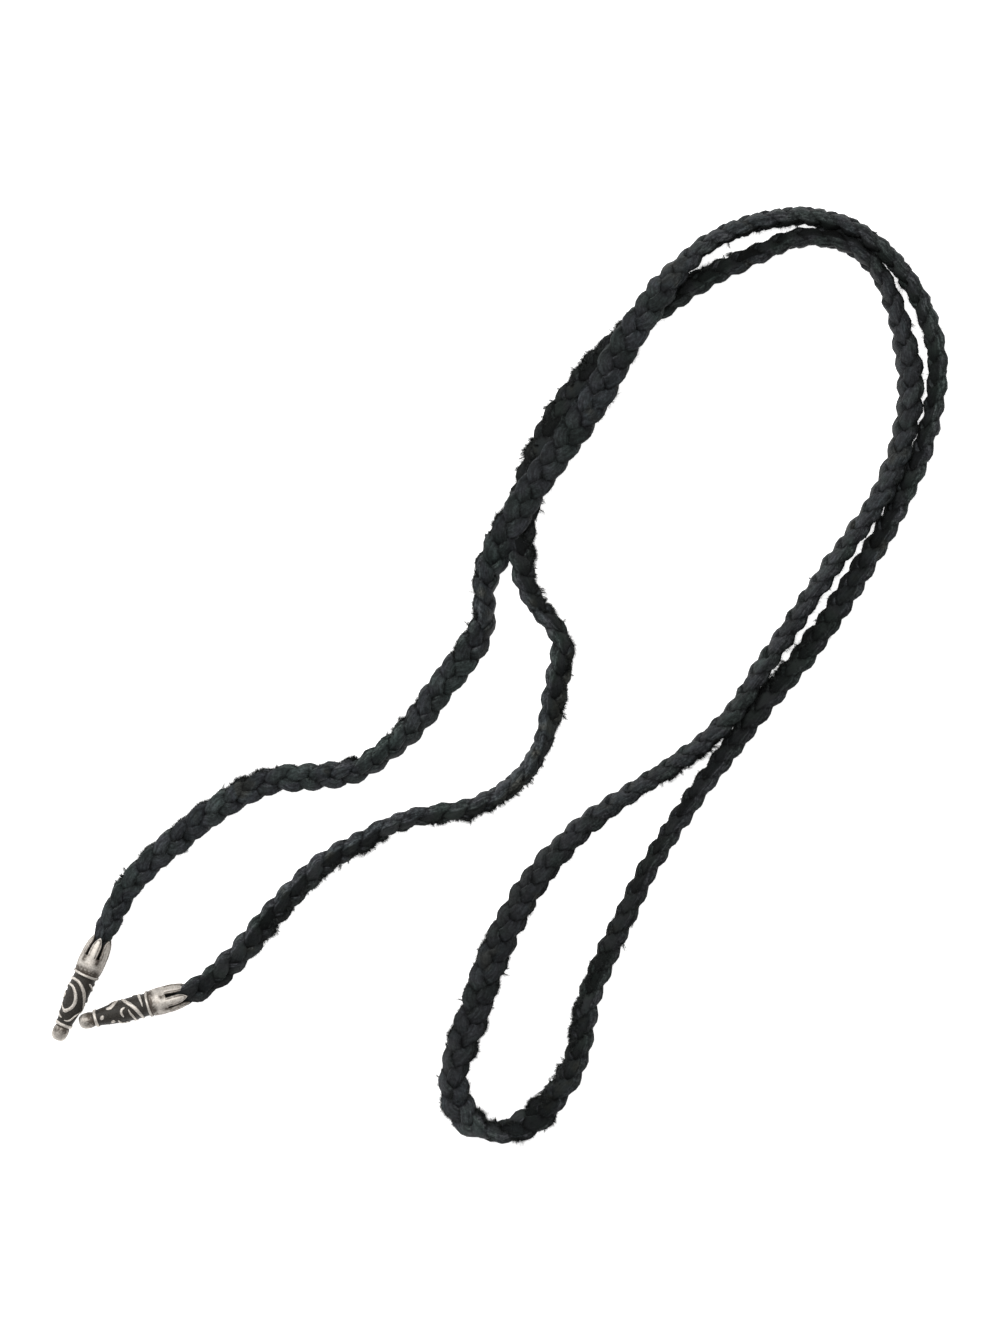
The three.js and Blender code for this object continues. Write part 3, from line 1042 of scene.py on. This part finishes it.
def body_rings():
    """Distance along the cap and radius of its rings, from the socket's floor round to the knob."""
    along = np.concatenate([np.arange(*stretch) for stretch in CAP_RINGS])
    radius = looked_up(CAP_PROFILE, along)
    along = np.concatenate([[SOCKET_FLOOR, SOCKET_FLOOR, SHELL_START], along, [CAP_LENGTH] * 3])
    socket = [MIDDLE_RADIUS, SOCKET_RADIUS, SOCKET_RADIUS]
    return along, np.concatenate([socket, radius, [0.5, 0.25, MIDDLE_RADIUS]])


def cap_body(cap):
    """The closed shell from behind the petals to the knob, with its socket's floor."""
    rows, radii = body_rings()
    angles = np.arange(CAP_SIDES) * 2 * np.pi / CAP_SIDES
    along, angle = np.meshgrid(rows, angles, indexing="ij")
    shown = between(along, 8.75, 9.1) * between(along, 18.5, 18.1)
    scroll = scroll_height(along, angle - math.radians(cap["ornament"])) * shown
    radius = radii[:, None] + scroll * SCROLL_HEIGHT * np.clip(radii[:, None] / 2.0, 0.5, 1.0)
    relief = np.where((along > 8.6) & (along < 18.7), scroll, BODY_RELIEF)
    for middle, half in DARK_GROOVES:
        relief = relief - GROOVE_DARKNESS * np.clip(1.4 - np.abs(along - middle) / half, 0, 1)
    socket_rings = 3
    relief[:socket_rings] = 0.0
    points = placed(cap, radius, angle, along)
    stain_and_shade = body_stain_and_shade(cap, along, angle)
    return points, tube_faces(len(rows), CAP_SIDES), np.clip(relief, 0, 1).ravel(), stain_and_shade.ravel()


def petal_faces():
    """A petal's outside and inside, as grids of points one after the other, and its rim."""
    total = PETAL_ROWS * PETAL_COLUMNS
    ids = np.arange(total).reshape(PETAL_ROWS, PETAL_COLUMNS)
    faces = []
    for a in ids[:-1, :-1].ravel().tolist():
        b = a + PETAL_COLUMNS
        faces.append((a, a + 1, b + 1, b))
        faces.append((total + a, total + b, total + b + 1, total + a + 1))
    rim = np.concatenate([ids[0], ids[1:, -1], ids[-1, -2::-1], ids[-2:0:-1, 0]]).tolist()
    for a, b in zip(rim, rim[1:] + rim[:1]):
        faces.append((b, a, total + a, total + b))
    return faces


def petal(cap, number):
    """One claw of the cap's rim: a curved leaf with a rounded tip."""
    row, column = np.meshgrid(
        np.linspace(0, 1, PETAL_ROWS), np.linspace(-1, 1, PETAL_COLUMNS), indexing="ij"
    )
    tip = TIP_ROUNDING * np.abs(column) ** 1.8
    along = tip + row * (PETAL_END - tip)
    outer = looked_up(PETAL_RADIUS, along)
    half = np.pi / PETAL_COUNT - SLOT_HALF_WIDTH * looked_up(SLOT_SHAPE, along) / outer
    angle = math.radians(cap["roll"]) + (2 * number + 1) * np.pi / PETAL_COUNT + column * half
    from_edge = np.minimum((1 - np.abs(column)) * half * outer, along - 0.8 * tip)
    border = np.exp(-((from_edge - BORDER_INSET) / BORDER_HALF_WIDTH) ** 2)
    border = border * between(along, 5.4, 4.4)
    crown = PETAL_CROWN * (1 - column ** 2) * between(along, 4.8, 3.6)
    rounding = SIDE_ROUNDING * np.abs(column) ** 8 * between(along, 5.2, 4.7)
    thinning = TIP_THINNING * between(row, 0.12, 0.0)
    outside = outer + crown - rounding - BORDER_DEPTH * border - thinning
    inside = np.maximum(outside - PETAL_WALL, PETAL_LEAST_RADIUS)
    points = np.concatenate([placed(cap, radius, angle, along) for radius in (outside, inside)])
    side = 0.95 * between(np.abs(column), 0.70, 0.95) * between(along, 5.4, 4.6)
    # Tarnish at the petal's sides and in its border groove, and painted shade on the cap's two sides.
    stain_and_shade = np.maximum.reduce([side, 0.9 * border, flank_painted_shade(angle)]).ravel()
    relief = np.repeat([PETAL_RELIEF, 0.0], stain_and_shade.size)
    return points, petal_faces(), relief, np.concatenate([stain_and_shade, np.ones(stain_and_shade.size)])


def make_cap(name, node, cap, silver):
    """A cap: its turned body with scrollwork, and its six petals."""
    parts = [cap_body(cap), *(petal(cap, number) for number in range(PETAL_COUNT))]
    points, part_faces, relief, stain_and_shade = zip(*parts)
    faces = []
    start = 0
    for part, pattern in zip(points, part_faces):
        faces += [tuple(start + corner for corner in face) for face in pattern]
        start += len(part)
    points = np.concatenate(points)
    points[:, 2] = np.maximum(points[:, 2], 0.0)
    marks = [("relief", np.concatenate(relief)), ("stain_and_shade", np.concatenate(stain_and_shade))]
    made = new_object(name, points, faces, silver, marks)
    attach(made, "root")
    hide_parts(node)
    return made


# ---------------------------------------------------------------- the whole scene


make_camera()
line, at = cord_line()
turn = cord_turn(at)
line = settle(line, at, turn)
skins = make_laces(line, at, turn)
cord = make_cord(skins, black_leather())
silver = oxidised_silver()
left_cap = make_cap("cap_left", "end_cap_left", LEFT_CAP, silver)
right_cap = make_cap("cap_right", "end_cap_right", RIGHT_CAP, silver)
fibre = leather_fibre()
fibre_rng = np.random.default_rng(7)
make_nap(fibre_rng, skins, at, fibre)
make_loose_fibres(fibre_rng, skins, at, fibre)
make_tufts(fibre_rng, skins, at, fibre)
make_ground(pale_surface())
make_lights()
